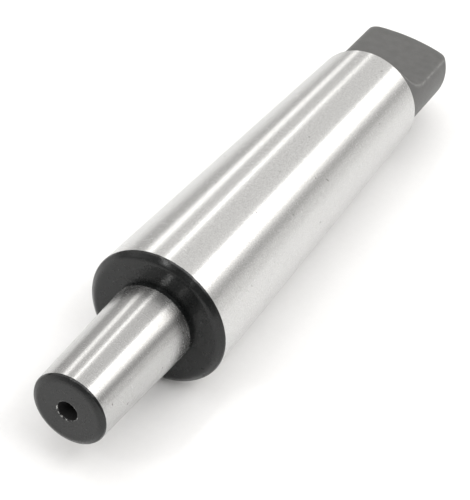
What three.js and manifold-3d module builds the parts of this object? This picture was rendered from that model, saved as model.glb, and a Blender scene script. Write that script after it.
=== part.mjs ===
// A drill chuck arbor: one bar of hardened steel. One end is a ground Morse taper shank with a flat drive
// tang, and the other is a short ground taper nose, which the chuck is pressed on to.
// Millimetres. X is the bar's own axis, from the nose to the tang, and the tang's flats face +Z and -Z.
// The origin is the centre of the Morse gauge plane, where the shank has its nominal diameter.
// The bar is one piece, modelled in five zones that meet face to face where the real bar changes finish.
import * as THREE from "three";
import { mergeVertices } from "three/addons/utils/BufferGeometryUtils.js";
import Module from "manifold-3d";

const wasm = await Module();
wasm.setup();

// Morse taper shank, number 3 with a tang.
const MORSE_D = 23.825;
const MORSE_TAPER = 1 / 19.922; // diameter lost for each millimetre of length
const SHANK_LENGTH = 73.5;
const SHANK_END_CHAMFER = 0.4;

// Drive tang: a round neck with two milled flats, and a gently domed end with a rounded rim.
const TANG_D = 17.8;
const TANG_END = 92.8; // from the gauge plane
const TANG_THICKNESS = 7.9;
const TANG_FLAT_LENGTH = 12.3;
const TANG_RUN_OUT_R = 6; // the cutter's radius, where a flat climbs back to the round neck
const TANG_DOME_R = 25;
const TANG_RIM_R = 1.4;

// Shoulder, its chamfered rim, and the relief neck that lets the grinding wheel run out in front of it.
const SHOULDER_CHAMFER = 1.05; // 45 degrees, and the whole depth of the shoulder
const RELIEF_D = 13.5;
const RELIEF_LENGTH = 0.65;

// Chuck taper: the small end is the nose.
const NOSE_LARGE_D = 13.75;
const NOSE_SMALL_D = 12.385;
const NOSE_LENGTH = 22.25;
const NOSE_CHAMFER_RADIAL = 0.9;
const NOSE_CHAMFER_AXIAL = 0.7;

// Centre holes: the bar is ground between centres, so each end has one.
const CENTRE_MOUTH_D = 3.5;
const CENTRE_CONE = THREE.MathUtils.degToRad(60);
const CENTRE_PILOT_D = 1.6;
const CENTRE_PILOT_END = 3.6; // depth of the pilot's straight wall below the mouth
const DRILL_POINT = THREE.MathUtils.degToRad(118);

// Fineness of the round surfaces.
const TURNS = 96;
const ARC_STEPS = 8;
const CUTTER_MARGIN = 1; // how far the milling cutter reaches past the metal

// Places along the axis, worked out from the sizes above.
const MORSE_R = MORSE_D / 2;
const SHANK_END_R = MORSE_R - (SHANK_LENGTH * MORSE_TAPER) / 2;
const SHOULDER_FACE = -SHOULDER_CHAMFER;
const RELIEF_FACE = SHOULDER_FACE - RELIEF_LENGTH;
const NOSE_SMALL_END = RELIEF_FACE - NOSE_LENGTH;
const NOSE_FACE = NOSE_SMALL_END - NOSE_CHAMFER_AXIAL;

const BRIGHT = { color: 0xc8c7c3, roughness: 0.28, metalness: 1 };
const BLACK = { color: 0x2c2d2e, roughness: 0.45, metalness: 0.6 };
const GREY = { color: 0x565756, roughness: 0.62, metalness: 0.5 };

// A point of a turned profile: its place along the axis and its radius.
function point(x, r) {
  return new THREE.Vector2(r, x);
}

// Turns a profile, listed from -X to +X round the metal, into a body about the X axis.
function turned(profile) {
  return new THREE.LatheGeometry(profile, TURNS).rotateZ(-Math.PI / 2);
}

// Points on an arc about (x, r). An angle of 0 points along +X, and 90 degrees points outwards.
function arc(x, r, radius, from, to) {
  return Array.from({ length: ARC_STEPS + 1 }, (_, i) => {
    const angle = from + ((to - from) * i) / ARC_STEPS;
    return point(x + radius * Math.cos(angle), r + radius * Math.sin(angle));
  });
}

// The wall of a centre hole, from its mouth to its bottom. It is drilled along +X or -X, as inwards says.
function centreHole(mouth, inwards) {
  const mouthR = CENTRE_MOUTH_D / 2;
  const pilotR = CENTRE_PILOT_D / 2;
  const coneDepth = (mouthR - pilotR) / Math.tan(CENTRE_CONE / 2);
  const pointDepth = CENTRE_PILOT_END + pilotR / Math.tan(DRILL_POINT / 2);
  return [
    point(mouth, mouthR),
    point(mouth + inwards * coneDepth, pilotR),
    point(mouth + inwards * CENTRE_PILOT_END, pilotR),
    point(mouth + inwards * pointDepth, 0),
  ];
}

// The radius of the nose's centre hole where its cone crosses the small end of the chuck taper.
function holeRadiusAtSmallEnd() {
  return CENTRE_MOUTH_D / 2 - NOSE_CHAMFER_AXIAL * Math.tan(CENTRE_CONE / 2);
}

function toSolid(geometry) {
  const bare = geometry.clone();
  bare.deleteAttribute("normal");
  bare.deleteAttribute("uv");
  const merged = mergeVertices(bare);
  const vertProperties = merged.attributes.position.array;
  const triVerts = new Uint32Array(merged.index.array);
  return new wasm.Manifold(new wasm.Mesh({ numProp: 3, vertProperties, triVerts }));
}

function toGeometry(solid) {
  const mesh = solid.getMesh();
  const geometry = new THREE.BufferGeometry();
  geometry.setAttribute("position", new THREE.BufferAttribute(mesh.vertProperties, 3));
  geometry.setIndex(new THREE.BufferAttribute(mesh.triVerts, 1));
  geometry.computeVertexNormals();
  return geometry;
}

function morseShank() {
  return turned([
    point(0, 0),
    point(0, MORSE_R),
    point(SHANK_LENGTH - SHANK_END_CHAMFER, SHANK_END_R + (SHANK_END_CHAMFER * MORSE_TAPER) / 2),
    point(SHANK_LENGTH, SHANK_END_R - SHANK_END_CHAMFER),
    point(SHANK_LENGTH, 0),
  ]);
}

function shoulder() {
  return turned([
    point(RELIEF_FACE, 0),
    point(RELIEF_FACE, RELIEF_D / 2),
    point(SHOULDER_FACE, RELIEF_D / 2),
    point(SHOULDER_FACE, MORSE_R - SHOULDER_CHAMFER),
    point(0, MORSE_R),
    point(0, 0),
  ]);
}

function chuckTaper() {
  const hole = centreHole(NOSE_FACE, 1);
  return turned([
    ...hole.slice(1).reverse(),
    point(NOSE_SMALL_END, holeRadiusAtSmallEnd()),
    point(NOSE_SMALL_END, NOSE_SMALL_D / 2),
    point(RELIEF_FACE, NOSE_LARGE_D / 2),
    point(RELIEF_FACE, 0),
  ]);
}

function noseEnd() {
  const mouth = point(NOSE_FACE, CENTRE_MOUTH_D / 2);
  return turned([
    mouth,
    point(NOSE_FACE, NOSE_SMALL_D / 2 - NOSE_CHAMFER_RADIAL),
    point(NOSE_SMALL_END, NOSE_SMALL_D / 2),
    point(NOSE_SMALL_END, holeRadiusAtSmallEnd()),
    mouth,
  ]);
}

// The tang before milling: the round neck, the rounded rim, the dome, and the centre hole in its middle.
function tangBlank() {
  const tangR = TANG_D / 2;
  const mouthR = CENTRE_MOUTH_D / 2;
  const domeCentre = TANG_END - TANG_DOME_R;
  const rimR = tangR - TANG_RIM_R;
  const rimCentre = domeCentre + Math.sqrt((TANG_DOME_R - TANG_RIM_R) ** 2 - rimR ** 2);
  const rimAngle = Math.atan2(rimR, rimCentre - domeCentre);
  const mouthAngle = Math.asin(mouthR / TANG_DOME_R);
  const mouth = domeCentre + TANG_DOME_R * Math.cos(mouthAngle);
  return turned([
    point(SHANK_LENGTH, 0),
    point(SHANK_LENGTH, tangR),
    ...arc(rimCentre, rimR, TANG_RIM_R, Math.PI / 2, rimAngle),
    ...arc(domeCentre, 0, TANG_DOME_R, rimAngle, mouthAngle).slice(1, -1),
    ...centreHole(mouth, -1),
  ]);
}

// What the milling cutter takes off the +Z side of the tang: all above the flat, up to the run-out arc.
function flatCutter() {
  const flat = TANG_THICKNESS / 2;
  const flatStart = TANG_END - TANG_FLAT_LENGTH;
  const top = TANG_D / 2 + CUTTER_MARGIN;
  const right = TANG_END + CUTTER_MARGIN;
  const cutterCentre = flat + TANG_RUN_OUT_R;
  const topAngle = Math.PI + Math.asin((cutterCentre - top) / TANG_RUN_OUT_R);
  const outline = new THREE.Shape();
  outline.moveTo(right, flat);
  outline.lineTo(right, top);
  outline.lineTo(flatStart + TANG_RUN_OUT_R * Math.cos(topAngle), top);
  outline.absarc(flatStart, cutterCentre, TANG_RUN_OUT_R, topAngle, 1.5 * Math.PI, false);
  const options = { depth: TANG_D + 2 * CUTTER_MARGIN, bevelEnabled: false, curveSegments: 2 * ARC_STEPS };
  return new THREE.ExtrudeGeometry(outline, options)
    .translate(0, 0, -options.depth / 2)
    .rotateX(Math.PI / 2);
}

function driveTang() {
  const upper = flatCutter();
  const lower = upper.clone().rotateX(Math.PI);
  return toGeometry(toSolid(tangBlank()).subtract(toSolid(upper)).subtract(toSolid(lower)));
}

function zone(name, geometry, finish) {
  const mesh = new THREE.Mesh(geometry, new THREE.MeshStandardMaterial(finish));
  mesh.name = name;
  return mesh;
}

const arbor = new THREE.Group();
arbor.name = "drill_chuck_arbor";
arbor.add(
  zone("drive_tang", driveTang(), GREY),
  zone("morse_shank", morseShank(), BRIGHT),
  zone("shoulder", shoulder(), BLACK),
  zone("chuck_taper", chuckTaper(), BRIGHT),
  zone("nose_end", noseEnd(), BLACK),
);

export default arbor;
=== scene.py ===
# The looks of a drill chuck arbor: ground steel tapers, black oxide faces and a matte grey drive tang.
# Metres, in the CAD model's frame: X is the bar's axis from nose to tang, the tang's flats face +Z and -Z,
# and the origin is the centre of the Morse gauge plane.
import math

import bpy
import numpy as np
from mathutils import Matrix, Vector


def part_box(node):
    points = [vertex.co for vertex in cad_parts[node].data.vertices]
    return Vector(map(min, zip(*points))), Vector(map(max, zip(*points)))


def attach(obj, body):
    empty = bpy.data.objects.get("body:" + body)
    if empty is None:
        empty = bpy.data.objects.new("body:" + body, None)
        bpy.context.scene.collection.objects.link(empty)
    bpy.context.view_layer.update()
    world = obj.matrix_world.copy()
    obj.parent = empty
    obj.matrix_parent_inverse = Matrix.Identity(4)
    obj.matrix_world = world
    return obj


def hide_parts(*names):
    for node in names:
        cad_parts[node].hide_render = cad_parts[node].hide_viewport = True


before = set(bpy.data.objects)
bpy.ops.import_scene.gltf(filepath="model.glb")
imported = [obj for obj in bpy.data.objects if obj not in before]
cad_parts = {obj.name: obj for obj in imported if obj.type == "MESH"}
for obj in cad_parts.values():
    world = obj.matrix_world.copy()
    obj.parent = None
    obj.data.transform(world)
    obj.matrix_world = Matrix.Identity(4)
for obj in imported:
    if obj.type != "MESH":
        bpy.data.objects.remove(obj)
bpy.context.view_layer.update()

MM = 0.001

# Places along the axis and radii, read from the CAD nodes.
NOSE_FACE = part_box("nose_end")[0].x
NOSE_SMALL_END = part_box("nose_end")[1].x
NOSE_SMALL_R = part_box("nose_end")[1].z
NOSE_LARGE_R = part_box("chuck_taper")[1].z
RELIEF_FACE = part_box("shoulder")[0].x
MORSE_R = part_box("morse_shank")[1].z
SHANK_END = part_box("morse_shank")[1].x
TANG_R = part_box("drive_tang")[1].y

# Sizes that the boxes don't give.
MORSE_TAPER = 1 / 19.922  # diameter lost for each unit of length
SHANK_END_CHAMFER = 0.4 * MM
SHOULDER_CHAMFER = 1.05 * MM
RELIEF_R = 6.75 * MM
NOSE_CHAMFER = 0.9 * MM
TANG_END = 92.8 * MM  # the dome's tip, which the centre hole takes away
TANG_HALF_THICKNESS = 3.95 * MM
TANG_FLAT_START = 80.5 * MM
TANG_RUN_OUT_R = 6 * MM
TANG_DOME_R = 25 * MM
TANG_RIM_R = 1.4 * MM
HOLE_MOUTH_R = 1.75 * MM
HOLE_PILOT_R = 0.8 * MM
HOLE_PILOT_END = 3.6 * MM  # how deep the pilot's straight wall goes below the mouth
HOLE_TIP_R = 0.02 * MM  # the hole's last ring, just short of a point
HOLE_CONE = math.radians(60)
DRILL_POINT = math.radians(118)

SHANK_END_R = MORSE_R - SHANK_END * MORSE_TAPER / 2  # on the taper, without its chamfer

# The radii that edges are rounded to.
SOFT_EDGE = 0.15 * MM
BLENDED_EDGE = 1.4 * MM
HOLE_EDGE = 0.2 * MM
TANG_EDGE = 0.15 * MM

# Wear: 0 is a whole finish and 1 is one that is rubbed thin.
RIM_EDGE = 0.3 * MM  # length along the bar of the worn bevel at an outer rim, which rises by half of that
RIM_WEAR = 1.0
MOUTH_WEAR = 0.9
WEAR_REACH = 0.1 * MM  # the wear fades out this far past a rounded edge

# Fineness of the meshes.
TURNS = 288
ANGLES = np.linspace(0, 2 * math.pi, TURNS, endpoint=False)  # round the axis, from +Z towards +Y
ARC_STEPS = 6
TANG_SIDE_STEPS = 72
TANG_END_STEPS = 120
RAY_HALVINGS = 30
SHARP_ANGLE = math.radians(30)


def add_object(name, data):
    made = bpy.data.objects.new(name, data)
    bpy.context.scene.collection.objects.link(made)
    return made


# ---- Shapes ----


def corner(x, r, edge=0.0, worn=0.0):
    """A corner of a turned outline: its place, the radius its edge is rounded to, and how worn it is."""
    return x, r, edge, worn


def unit(vector):
    return vector / np.linalg.norm(vector)


def rounded_corner(before, here, after, edge):
    """The points of a rounded corner: its arc, and a point on each side where the wear has faded."""
    back, onward = unit(before - here), unit(after - here)
    half = math.acos(np.clip(back @ onward, -1, 1)) / 2
    reach = edge / math.tan(half)
    middle = here + unit(back + onward) * edge / math.sin(half)
    start = here + back * reach - middle
    end = here + onward * reach - middle
    turn = math.pi - 2 * half
    points = [here + back * (reach + WEAR_REACH)]
    for step in range(ARC_STEPS + 1):
        share = step / ARC_STEPS
        spoke = (math.sin((1 - share) * turn) * start + math.sin(share * turn) * end) / math.sin(turn)
        points.append(middle + spoke)
    points.append(here + onward * (reach + WEAR_REACH))
    return points


def rounded(corners):
    """The points of a turned outline with its corners rounded, all but its ends, and how worn each one is."""
    places = [np.array((x, r)) for x, r, _, _ in corners]
    points, wear = [], []
    for i, (_, _, edge, worn) in enumerate(corners):
        if edge == 0:
            points.append(places[i])
            wear.append(worn)
        else:
            points += rounded_corner(*places[i - 1:i + 2], edge)
            wear += [0.0, *[worn] * (ARC_STEPS + 1), 0.0]
    return np.array(points), np.array(wear)


def turned_rings(corners):
    """The rings that an outline sweeps about the X axis, and their wear."""
    outline, wear = rounded(corners)
    x = np.repeat(outline[:, :1], TURNS, axis=1)
    y = outline[:, 1:] * np.sin(ANGLES)
    z = outline[:, 1:] * np.cos(ANGLES)
    return np.stack([x, y, z], axis=2), np.repeat(wear[:, None], TURNS, axis=1)


def band(first, second, turns):
    """The faces between two rings, each ring given by the number of its first vertex."""
    faces = []
    for here in range(turns):
        after = (here + 1) % turns
        faces.append((first + here, second + here, second + after, first + after))
    return faces


def cap(first, pole, turns, flip):
    """The faces between a ring and the pole in its middle. flip turns them over."""
    faces = []
    for here in range(turns):
        edge = (first + here, first + (here + 1) % turns)
        faces.append((pole, *(reversed(edge) if flip else edge)))
    return faces


def skin(name, rings, wear, loop=False):
    """A closed mesh over a row of rings. Its ends are capped, or they are joined when loop is true."""
    count, turns = rings.shape[:2]
    vertices = [tuple(vertex) for vertex in rings.reshape(-1, 3)]
    faces = []
    for ring in range(count - 1):
        faces += band(ring * turns, (ring + 1) * turns, turns)
    if loop:
        faces += band((count - 1) * turns, 0, turns)
    else:
        for ring, flip in ((0, False), (count - 1, True)):
            faces += cap(ring * turns, len(vertices), turns, flip)
            vertices.append(tuple(rings[ring].mean(axis=0)))
    mesh = bpy.data.meshes.new(name)
    mesh.from_pydata(vertices, [], faces)
    mesh.polygons.foreach_set("use_smooth", [True] * len(faces))
    worn = mesh.attributes.new("wear", "FLOAT", "POINT")
    poles = len(vertices) - wear.size
    worn.data.foreach_set("value", [*wear.ravel(), *[0.0] * poles])
    mesh.set_sharp_from_angle(angle=SHARP_ANGLE)
    mesh.validate()
    piece = add_object(name, mesh)
    piece.modifiers.new("even_shading", "WEIGHTED_NORMAL").keep_sharp = True
    return piece


def centre_hole(mouth, inwards):
    """The corners of a centre hole's wall below its mouth, drilled along +X or -X, as inwards says."""
    cone_depth = (HOLE_MOUTH_R - HOLE_PILOT_R) / math.tan(HOLE_CONE / 2)
    point_depth = HOLE_PILOT_END + HOLE_PILOT_R / math.tan(DRILL_POINT / 2)
    return [
        corner(mouth + inwards * cone_depth, HOLE_PILOT_R),
        corner(mouth + inwards * HOLE_PILOT_END, HOLE_PILOT_R),
        corner(mouth + inwards * point_depth, HOLE_TIP_R),
    ]


def hole_radius_at_small_end():
    """The radius of the nose's centre hole where its cone crosses the small end of the chuck taper."""
    return HOLE_MOUTH_R - (NOSE_SMALL_END - NOSE_FACE) * math.tan(HOLE_CONE / 2)


def shank():
    return skin("ground_morse_shank", *turned_rings([
        corner(0, MORSE_R),
        corner(SHANK_END - SHANK_END_CHAMFER, SHANK_END_R, SOFT_EDGE),
        corner(SHANK_END, SHANK_END_R - SHANK_END_CHAMFER),
    ]))


def shoulder():
    face = -SHOULDER_CHAMFER
    return skin("black_shoulder", *turned_rings([
        corner(RELIEF_FACE, RELIEF_R),
        corner(face, RELIEF_R),
        corner(face, MORSE_R - SHOULDER_CHAMFER, BLENDED_EDGE),
        corner(-RIM_EDGE, MORSE_R - RIM_EDGE / 2, SOFT_EDGE),
        corner(0, MORSE_R, worn=RIM_WEAR),
    ]))


def dark_bore(piece):
    """Gives the wall of the nose's centre hole the piece's second material, the hole's painted shade."""
    for face in piece.data.polygons:
        inside = NOSE_FACE + HOLE_EDGE < face.center.x < RELIEF_FACE - SOFT_EDGE
        if inside and face.center.yz.length < HOLE_MOUTH_R:
            face.material_index = 1
    return piece


def chuck_taper():
    hole = centre_hole(NOSE_FACE, 1)
    return dark_bore(skin("ground_chuck_taper", *turned_rings([
        *reversed(hole),
        corner(NOSE_SMALL_END, hole_radius_at_small_end()),
        corner(NOSE_SMALL_END, NOSE_SMALL_R),
        corner(RELIEF_FACE - SOFT_EDGE, NOSE_LARGE_R, SOFT_EDGE),
        corner(RELIEF_FACE, NOSE_LARGE_R - SOFT_EDGE),
    ])))


def nose_end():
    rings, wear = turned_rings([
        corner(NOSE_SMALL_END, hole_radius_at_small_end()),
        corner(NOSE_FACE, HOLE_MOUTH_R, HOLE_EDGE, worn=MOUTH_WEAR),
        corner(NOSE_FACE, NOSE_SMALL_R - NOSE_CHAMFER, BLENDED_EDGE),
        corner(NOSE_SMALL_END - RIM_EDGE, NOSE_SMALL_R - RIM_EDGE / 2, SOFT_EDGE),
        corner(NOSE_SMALL_END, NOSE_SMALL_R, worn=RIM_WEAR),
    ])
    return dark_bore(skin("black_nose_end", rings, wear, loop=True))


def round_off(a, b, radius):
    """The signed distance to where the insides of two surfaces meet, with their edge rounded."""
    outside = np.hypot(np.maximum(a + radius, 0), np.maximum(b + radius, 0))
    return outside + np.minimum(np.maximum(a, b), -radius)


def tang_distances(x, y, z):
    """Signed distances to the turned tang blank and to what the two milled flats leave."""
    r = np.hypot(y, z)
    dome = np.hypot(x - (TANG_END - TANG_DOME_R), r) - TANG_DOME_R
    blank = round_off(r - TANG_R, dome, TANG_RIM_R)
    above = np.abs(z) - TANG_HALF_THICKNESS
    run_out = TANG_RUN_OUT_R - np.hypot(x - TANG_FLAT_START, above - TANG_RUN_OUT_R)
    return blank, np.where(x > TANG_FLAT_START, above, run_out)


def tang_rays(mouth):
    """Rays from the tang's axis: square to it along the side, then fanned from one place towards the end.

    Gives their starts and ways, in rings from the shank to the hole's mouth. Slopes are angles from the axis.
    """
    fan = TANG_END - TANG_R
    square = math.pi / 2
    last = math.atan2(HOLE_MOUTH_R, mouth - fan)
    side_slope = np.full(TANG_SIDE_STEPS, square)
    end_slope = np.linspace(square, last, TANG_END_STEPS + 1)[1:]
    slope = np.concatenate([side_slope, end_slope])[:, None]
    along = np.cos(slope) * np.ones(TURNS)
    ways = np.stack([along, np.sin(slope) * np.sin(ANGLES), np.sin(slope) * np.cos(ANGLES)], axis=2)
    starts = np.zeros_like(ways)
    starts[:TANG_SIDE_STEPS, :, 0] = np.linspace(SHANK_END, fan, TANG_SIDE_STEPS)[:, None]
    starts[TANG_SIDE_STEPS:, :, 0] = fan
    return starts, ways


def tang():
    """The milled tang. Its surface is found by halving, again and again, the span where a ray leaves it."""
    mouth = TANG_END - HOLE_MOUTH_R**2 / (2 * TANG_DOME_R)
    starts, ways = tang_rays(mouth)
    near = np.zeros(ways.shape[:2])
    far = np.full(ways.shape[:2], 2 * TANG_R)  # outside the metal on every ray
    for _ in range(RAY_HALVINGS):
        reach = (near + far) / 2
        rings = starts + reach[:, :, None] * ways
        blank, milled = tang_distances(rings[:, :, 0], rings[:, :, 1], rings[:, :, 2])
        inside = round_off(blank, milled, TANG_EDGE) < 0
        near = np.where(inside, reach, near)
        far = np.where(inside, far, reach)
    wear = np.exp(-(np.abs(blank) + np.abs(milled)) / TANG_EDGE)
    hole, hole_wear = turned_rings(centre_hole(mouth, -1))
    return skin("milled_drive_tang", np.concatenate([rings, hole]), np.concatenate([wear, hole_wear]))


# ---- Materials ----

# A finish varies between two shades and between two roughnesses. Cells say how many cells of a noise fit
# in a metre, and a range says which part of the noise takes the finish from its first value to its second.
NOISE_RANGE = (0.3, 0.7)  # most of what a noise gives

# Ground steel.
SHANK_SHADES = ((0.535, 0.535, 0.53), (0.67, 0.67, 0.665))
# The nose's shades are the shank's steel made darker. This is painted shade for the dimmer surroundings that
# the nose mirrors, not a different finish.
NOSE_STEEL_PAINTED_SHADES = ((0.44, 0.44, 0.435), (0.535, 0.535, 0.53))
STEEL_ROUGHNESS = (0.28, 0.24)
SPECKLE_CELLS = 6000
SPECKLE_RANGE = (0.35, 0.65)
GRINDING_STRETCH = (1, 0.15, 0.15)  # lines close together along the bar, and long round it
GRINDING_LINE_CELLS = 6500
GRINDING_BAND_CELLS = 1500
LINES_SHARE = 0.8  # of the grinding marks, and the rest is bands
GRINDING_DEPTH = 0.0003 * MM
NICK_COLOUR = (0.18, 0.17, 0.16)
NICK_CELLS = 900
NICK_RANGE = (0.72, 0.76)  # only the few highest peaks

# Black oxide. It is rubbed away where its wear, with a share of a noise, comes into the rubbed range.
BLACK_SHADES = ((0.0015, 0.002, 0.002), (0.0095, 0.0105, 0.0105))
BLACK_ROUGHNESS = (0.22, 0.29)
BLACK_SPECKLE_CELLS = 4500
BLACK_MOTTLE_CELLS = 1400
BLACK_MOTTLE_DEPTH = 0.001 * MM
TURNING_PITCH = 0.22 * MM
TURNING_DEPTH = 0.001 * MM
TURNING_WANDER_CELLS = 900
BLACK_RUBBED_COLOUR = (0.45, 0.45, 0.44)
BLACK_RUBBED_CELLS = 2000
BLACK_RUBBED_SHARE = 0.8
BLACK_RUBBED_RANGE = (1.3, 1.45)
BLACK_RUBBED_MOST = 0.9

# Grey oxide of the tang.
GREY_SHADES = ((0.07, 0.07, 0.068), (0.086, 0.086, 0.084))
GREY_ROUGHNESS = (0.38, 0.48)
GREY_MOTTLE_CELLS = 700
GREY_TOOTH_CELLS = 6000
GREY_TOOTH_DEPTH = 0.01 * MM
GREY_RUBBED_COLOUR = (0.42, 0.42, 0.41)
GREY_RUBBED_CELLS = 1200
GREY_RUBBED_SHARES = (0.1, 0.7)  # the least and the most that a wear of 1 rubs away
GREY_RUBBED_METAL = 0.5

# Wall of the nose's centre hole, painted near-black and dull to stand in for the shade inside the hole.
BORE_PAINTED_SHADES = ((0.002, 0.002, 0.002), (0.012, 0.012, 0.012))
BORE_ROUGHNESS = (0.5, 0.8)
BORE_CELLS = 3000

# The floor's paper.
PAPER_SHADES = ((0.795, 0.795, 0.795), (0.825, 0.825, 0.825))
PAPER_CELLS = 900
PAPER_DEPTH = 0.01 * MM


def node(tree, kind, values=None, **settings):
    """Adds a shader node. values maps an input to a number, a colour or the socket that feeds it."""
    made = tree.nodes.new(kind)
    for key, value in settings.items():
        setattr(made, key, value)
    for key, value in (values or {}).items():
        if isinstance(value, bpy.types.NodeSocket):
            tree.links.new(value, made.inputs[key])
        else:
            made.inputs[key].default_value = value
    return made


def maths(tree, operation, a, b=0.0, c=0.0, clamp=False):
    """The result of a maths node, which uses as many of a, b and c as its operation needs."""
    return node(tree, "ShaderNodeMath", {0: a, 1: b, 2: c}, operation=operation, use_clamp=clamp).outputs[0]


def noise(tree, cells, detail, stretch=(1, 1, 1)):
    """Noise with so many cells to the metre, in the object's own coordinates multiplied by stretch."""
    place = node(tree, "ShaderNodeTexCoord").outputs["Object"]
    scaled = node(tree, "ShaderNodeVectorMath", {0: place, 1: stretch}, operation="MULTIPLY").outputs[0]
    return node(tree, "ShaderNodeTexNoise", {"Vector": scaled, "Scale": cells, "Detail": detail}).outputs[0]


def spread(tree, value, low, high, span=NOISE_RANGE):
    """value, mapped from span to the range from low to high, and held inside that."""
    values = {"Value": value, "From Min": span[0], "From Max": span[1], "To Min": low, "To Max": high}
    return node(tree, "ShaderNodeMapRange", values).outputs[0]


def colour_between(tree, factor, a, b):
    """A mix of two colours, each a tuple or a socket."""
    mix = node(tree, "ShaderNodeMix", data_type="RGBA")
    for key, value in (("Factor_Float", factor), ("A_Color", a), ("B_Color", b)):
        socket = next(s for s in mix.inputs if s.identifier == key)
        if isinstance(value, bpy.types.NodeSocket):
            tree.links.new(value, socket)
        else:
            socket.default_value = (*value, 1)
    return next(s for s in mix.outputs if s.identifier == "Result_Color")


def bump(tree, height, distance, base=None):
    """The normal over a height that varies by distance, on top of base if that is given."""
    values = {"Height": height, "Distance": distance}
    if base:
        values["Normal"] = base
    return node(tree, "ShaderNodeBump", values).outputs[0]


def start_material(name):
    material = bpy.data.materials.new(name)
    material.use_nodes = True
    return material, material.node_tree, material.node_tree.nodes["Principled BSDF"]


def feed(tree, shader, **sockets):
    """Sets or links the main shader's inputs. Underscores in a name stand for spaces."""
    for key, value in sockets.items():
        socket = shader.inputs[key.replace("_", " ").title().replace("Ior", "IOR")]
        if isinstance(value, bpy.types.NodeSocket):
            tree.links.new(value, socket)
        else:
            socket.default_value = value


def tangent_round_the_bar(tree):
    return node(tree, "ShaderNodeTangent", direction_type="RADIAL", axis="X").outputs[0]


def wear_of(tree):
    """The wear that skin() wrote on the mesh."""
    return node(tree, "ShaderNodeAttribute", attribute_name="wear").outputs["Fac"]


def ground_steel(name, shades):
    """Steel with fine grinding lines round the bar, a speckle of two shades, and a few small dark nicks."""
    material, tree, shader = start_material(name)
    lines = noise(tree, GRINDING_LINE_CELLS, detail=3.0, stretch=GRINDING_STRETCH)
    bands = noise(tree, GRINDING_BAND_CELLS, detail=2.0, stretch=GRINDING_STRETCH)
    line_marks = maths(tree, "MULTIPLY", lines, LINES_SHARE)
    band_marks = maths(tree, "MULTIPLY", bands, 1 - LINES_SHARE)
    marks = maths(tree, "ADD", line_marks, band_marks)
    speckle = spread(tree, noise(tree, SPECKLE_CELLS, detail=2.0), 0, 1, SPECKLE_RANGE)
    nicks = spread(tree, noise(tree, NICK_CELLS, detail=3.0), 0, 1, NICK_RANGE)
    feed(
        tree, shader,
        base_color=colour_between(tree, nicks, colour_between(tree, speckle, *shades), NICK_COLOUR),
        metallic=1.0,
        roughness=spread(tree, marks, *STEEL_ROUGHNESS),
        anisotropic=0.75,
        anisotropic_rotation=0.25,
        tangent=tangent_round_the_bar(tree),
        normal=bump(tree, marks, GRINDING_DEPTH),
    )
    return material


def turning_rings(tree):
    """Height of the fine rings that a lathe tool leaves on a face, from 0 to 1, a little uneven."""
    place = node(tree, "ShaderNodeTexCoord").outputs["Object"]
    across = node(tree, "ShaderNodeVectorMath", {0: place, 1: (0, 1, 1)}, operation="MULTIPLY").outputs[0]
    radius = node(tree, "ShaderNodeVectorMath", {0: across}, operation="LENGTH").outputs["Value"]
    wander = maths(tree, "MULTIPLY", noise(tree, TURNING_WANDER_CELLS, detail=1.0), TURNING_PITCH)
    phase = maths(tree, "MULTIPLY", maths(tree, "ADD", radius, wander), 2 * math.pi / TURNING_PITCH)
    return maths(tree, "MULTIPLY_ADD", maths(tree, "SINE", phase), 0.5, 0.5)


def black_oxide():
    """Black finish with faint turning rings, rubbed to bright metal along its worn edges."""
    material, tree, shader = start_material("black_oxide")
    mottle = noise(tree, BLACK_MOTTLE_CELLS, detail=4.0)
    speckle = spread(tree, noise(tree, BLACK_SPECKLE_CELLS, detail=2.0), 0, 1)
    ragged = maths(tree, "MULTIPLY", noise(tree, BLACK_RUBBED_CELLS, detail=3.0), BLACK_RUBBED_SHARE)
    worn = maths(tree, "ADD", wear_of(tree), ragged)
    rubbed = spread(tree, worn, 0, BLACK_RUBBED_MOST, BLACK_RUBBED_RANGE)
    black = colour_between(tree, speckle, *BLACK_SHADES)
    feed(
        tree, shader,
        base_color=colour_between(tree, rubbed, black, BLACK_RUBBED_COLOUR),
        metallic=rubbed,
        roughness=spread(tree, mottle, *BLACK_ROUGHNESS),
        specular_ior_level=0.45,
        anisotropic=0.8,
        anisotropic_rotation=0.25,
        tangent=tangent_round_the_bar(tree),
        normal=bump(tree, mottle, BLACK_MOTTLE_DEPTH, base=bump(tree, turning_rings(tree), TURNING_DEPTH)),
    )
    return material


def bore_painted_shade():
    """The wall of the nose's centre hole: painted shade, a dull near-black that stands in for the shade
    inside the hole.
    """
    material, tree, shader = start_material("bore_painted_shade")
    shade_mottle = noise(tree, BORE_CELLS, detail=3.0)
    feed(
        tree, shader,
        base_color=colour_between(tree, shade_mottle, *BORE_PAINTED_SHADES),
        roughness=spread(tree, shade_mottle, *BORE_ROUGHNESS),
        specular_ior_level=0.15,
    )
    return material


def grey_oxide():
    """Matte grey finish of the tang, with a fine tooth and lighter, unevenly rubbed edges."""
    material, tree, shader = start_material("tang_grey_oxide")
    mottle = spread(tree, noise(tree, GREY_MOTTLE_CELLS, detail=4.0), 0, 1)
    tooth = noise(tree, GREY_TOOTH_CELLS, detail=3.0)
    ragged = spread(tree, noise(tree, GREY_RUBBED_CELLS, detail=3.0), *GREY_RUBBED_SHARES)
    rubbed = maths(tree, "MULTIPLY", wear_of(tree), ragged, clamp=True)
    grey = colour_between(tree, mottle, *GREY_SHADES)
    feed(
        tree, shader,
        base_color=colour_between(tree, rubbed, grey, GREY_RUBBED_COLOUR),
        metallic=maths(tree, "MULTIPLY", rubbed, GREY_RUBBED_METAL),
        roughness=spread(tree, tooth, *GREY_ROUGHNESS),
        normal=bump(tree, tooth, GREY_TOOTH_DEPTH),
    )
    return material


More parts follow.
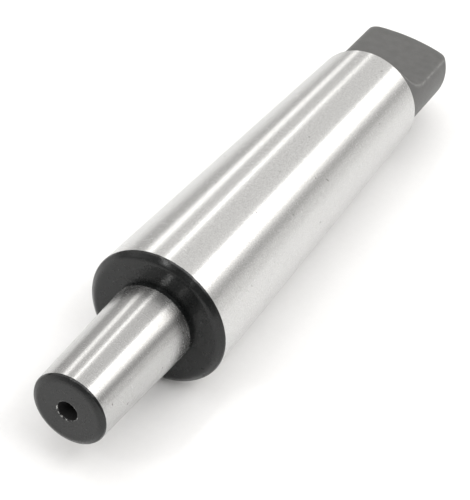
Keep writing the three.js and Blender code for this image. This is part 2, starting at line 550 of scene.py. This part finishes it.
def paper():
    """The floor's white paper, with faint fibres."""
    material, tree, shader = start_material("white_paper")
    fibres = noise(tree, PAPER_CELLS, detail=4.0)
    feed(
        tree, shader,
        base_color=colour_between(tree, fibres, *PAPER_SHADES),
        roughness=0.9,
        specular_ior_level=0.1,
        normal=bump(tree, fibres, PAPER_DEPTH),
    )
    return material


# ---- Studio ----

CAMERA_TARGET = Vector((27.9, 1.0, -6.3)) * MM
CAMERA_DISTANCE = 271.2 * MM
CAMERA_AZIMUTH = math.radians(-68.16)
CAMERA_ELEVATION = math.radians(40.72)
CAMERA_ROLL = math.radians(11.79)
CAMERA_LENS = 116.7  # in millimetres, as the sensor is
CAMERA_SENSOR = 36
CAMERA_CLIP = (0.01, 20)

FLOOR_HALF = 1.5  # half of the floor's width
FLOOR_GAP = 0.02 * MM  # between the bar and the paper

TENT_TINT = (1.0, 0.985, 0.965)
WARM_TINT = (1.0, 0.965, 0.925)
WHITE = (1.0, 1.0, 1.0)

# Long soft lights beside the bar: angle round it from straight up towards +Y, turn in plan, width in
# degrees, where it starts and ends along the bar in metres, radiance and tint. The ground steel mirrors
# the strips. The two tubes reach back over the camera, where the black chamfers mirror them.
STRIPS = (
    ("wide_strip", -29, 2, 12, -0.1, 1.5, 1.8, TENT_TINT),
    ("wide_strip_edge", -42.5, 2, 15, -0.1, 1.5, 1.36, WARM_TINT),
    ("narrow_strip", 12, 15.5, 6.5, -0.1, 1.0, 2.0, TENT_TINT),
    ("side_strip", 38, 20, 11, -0.1, 1.3, 1.3, TENT_TINT),
    ("left_tube", 25, 0, 4.5, -0.8, 0.1, 5.0, TENT_TINT),
    ("right_tube", -26, 0, 4, -0.8, 0.1, 5.0, TENT_TINT),
)
STRIP_DISTANCE = 0.6  # from the bar's axis

# Square lamps, which light the floor and give the black edges their glints: direction, size and radiance.
LAMPS = (
    ("ceiling_lamp", (-0.2, 0.0, 0.97), 0.45, 2.1),
    ("right_fill", (-0.1, -0.5, 0.85), 0.4, 2.2),
    ("left_fill", (-0.3, 0.8, 0.5), 0.5, 0.5),
    ("left_glint", (-0.66, 0.31, 0.68), 0.07, 34.0),
)
LAMP_DISTANCE = 0.7  # from the origin

# How bright the tent is at each angle round the bar's axis, in degrees from straight up towards +Y.
TENT = (
    (-100, 1.15), (-80, 1.0), (-66, 0.5), (-60, 0.62), (-52, 1.15), (-42, 1.0),
    (0, 0.93), (50, 0.85), (74, 0.65), (92, 0.42), (104, 0.9),
)

# The tent's opening, where the camera looks in. The edge is given as cosines of the angle from its middle:
# where the tent is still whole, and where it has faded to the opening's own level.
OPENING = (-0.70, -0.28, 0.65)
OPENING_EDGE = (0.4, 0.75)
OPENING_LEVEL = 0.25


def camera():
    """The camera, looking at its target from an azimuth and elevation, and rolled about its own axis."""
    data = bpy.data.cameras.new("camera")
    data.lens = CAMERA_LENS
    data.sensor_width = CAMERA_SENSOR
    data.clip_start, data.clip_end = CAMERA_CLIP
    back = Vector((
        math.sin(CAMERA_AZIMUTH) * math.cos(CAMERA_ELEVATION),
        -math.cos(CAMERA_AZIMUTH) * math.cos(CAMERA_ELEVATION),
        math.sin(CAMERA_ELEVATION),
    ))
    made = add_object("camera", data)
    made.matrix_world = (
        Matrix.Translation(CAMERA_TARGET + back * CAMERA_DISTANCE)
        @ (-back).to_track_quat("-Z", "Y").to_matrix().to_4x4()
        @ Matrix.Rotation(CAMERA_ROLL, 4, "Z")
    )
    bpy.context.scene.camera = made


def floor():
    """White paper under the bar, which lies on its taper's lowest line, so the paper slopes as that does."""
    mesh = bpy.data.meshes.new("floor")
    corners = [(x * FLOOR_HALF, y * FLOOR_HALF, 0) for x, y in ((-1, -1), (1, -1), (1, 1), (-1, 1))]
    mesh.from_pydata(corners, [], [(0, 1, 2, 3)])
    mesh.materials.append(paper())
    made = add_object("floor", mesh)
    made.location = (0, 0, -MORSE_R - FLOOR_GAP)
    made.rotation_euler = (0, -math.atan(MORSE_TAPER / 2), 0)


def area_light(name, length, width, radiance, tint, place):
    """A flat light that shines along its own -Z and that the camera doesn't see. place is its matrix."""
    data = bpy.data.lights.new(name, "AREA")
    data.shape = "RECTANGLE"
    data.size = length
    data.size_y = width
    data.color = tint
    data.energy = radiance * math.pi * length * width
    made = add_object(name, data)
    made.matrix_world = place
    made.visible_camera = False


def strip_light(name, angle, turn, width, start, end, radiance, tint):
    """A long light that faces the bar's axis. Its width is the angle that it takes up, seen from there."""
    across = 2 * STRIP_DISTANCE * math.tan(math.radians(width / 2))
    area_light(name, end - start, across, radiance, tint, (
        Matrix.Rotation(math.radians(-angle), 4, "X")
        @ Matrix.Translation((0, 0, STRIP_DISTANCE))
        @ Matrix.Rotation(math.radians(turn), 4, "Z")
        @ Matrix.Translation(((start + end) / 2, 0, 0))
    ))


def square_lamp(name, direction, size, radiance):
    """A white lamp that faces the origin."""
    way = Vector(direction).normalized()
    facing_back = way.to_track_quat("Z", "Y").to_matrix().to_4x4()
    area_light(name, size, size, radiance, WHITE, Matrix.Translation(way * LAMP_DISTANCE) @ facing_back)


def tent_colour(tree, way):
    """The tent's colour at each angle round the bar's axis."""
    angle = maths(tree, "DEGREES", maths(tree, "ARCTAN2", way.outputs["Y"], way.outputs["Z"]))
    first, last = TENT[0][0], TENT[-1][0]
    ramp = node(tree, "ShaderNodeValToRGB", {0: spread(tree, angle, 0, 1, (first, last))})
    ramp.color_ramp.interpolation = "EASE"
    stops = ramp.color_ramp.elements
    for place, _ in TENT[1:-1]:
        stops.new((place - first) / (last - first))
    for stop, (_, level) in zip(stops, TENT):
        stop.color = (*[level * tint for tint in TENT_TINT], 1)
    return ramp.outputs[0]


def tent():
    """The pale tent round the object: darker in two bands along the bar, and dark at its opening."""
    world = bpy.data.worlds.new("tent")
    world.use_nodes = True
    tree = world.node_tree
    direction = node(tree, "ShaderNodeTexCoord").outputs["Generated"]
    way = node(tree, "ShaderNodeSeparateXYZ", {0: direction})
    to_opening = node(tree, "ShaderNodeVectorMath", {0: direction, 1: OPENING}, operation="DOT_PRODUCT")
    strength = spread(tree, to_opening.outputs["Value"], 1, OPENING_LEVEL, OPENING_EDGE)
    background = tree.nodes["Background"]
    tree.links.new(tent_colour(tree, way), background.inputs["Color"])
    tree.links.new(strength, background.inputs["Strength"])
    bpy.context.scene.world = world


# ---- The object ----


def fit_out(piece, node_name, slot_name, *materials):
    """Gives a piece its materials, hangs it on the root body, and hides the CAD node that it stands for."""
    for material in materials:
        piece.data.materials.append(material)
    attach(piece, "root")
    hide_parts(node_name)


bpy.context.scene.view_settings.view_transform = "Standard"
camera()
floor()
tent()
for strip in STRIPS:
    strip_light(*strip)
for lamp in LAMPS:
    square_lamp(*lamp)

grey = grey_oxide()
black = black_oxide()
# The hole's wall gets painted shade, darker and duller than the oxide round it.
bore = bore_painted_shade()
shank_steel = ground_steel("shank_steel", SHANK_SHADES)
# The nose gets a darker copy of the shank's steel: painted shade.
nose_steel_painted_shade = ground_steel("nose_steel_painted_shade", NOSE_STEEL_PAINTED_SHADES)
fit_out(tang(), "drive_tang", "tang_grey_oxide", grey)
fit_out(shank(), "morse_shank", "ground_steel", shank_steel)
fit_out(shoulder(), "shoulder", "black_oxide", black)
fit_out(chuck_taper(), "chuck_taper", "ground_steel", nose_steel_painted_shade, bore)
fit_out(nose_end(), "nose_end", "black_oxide", black, bore)
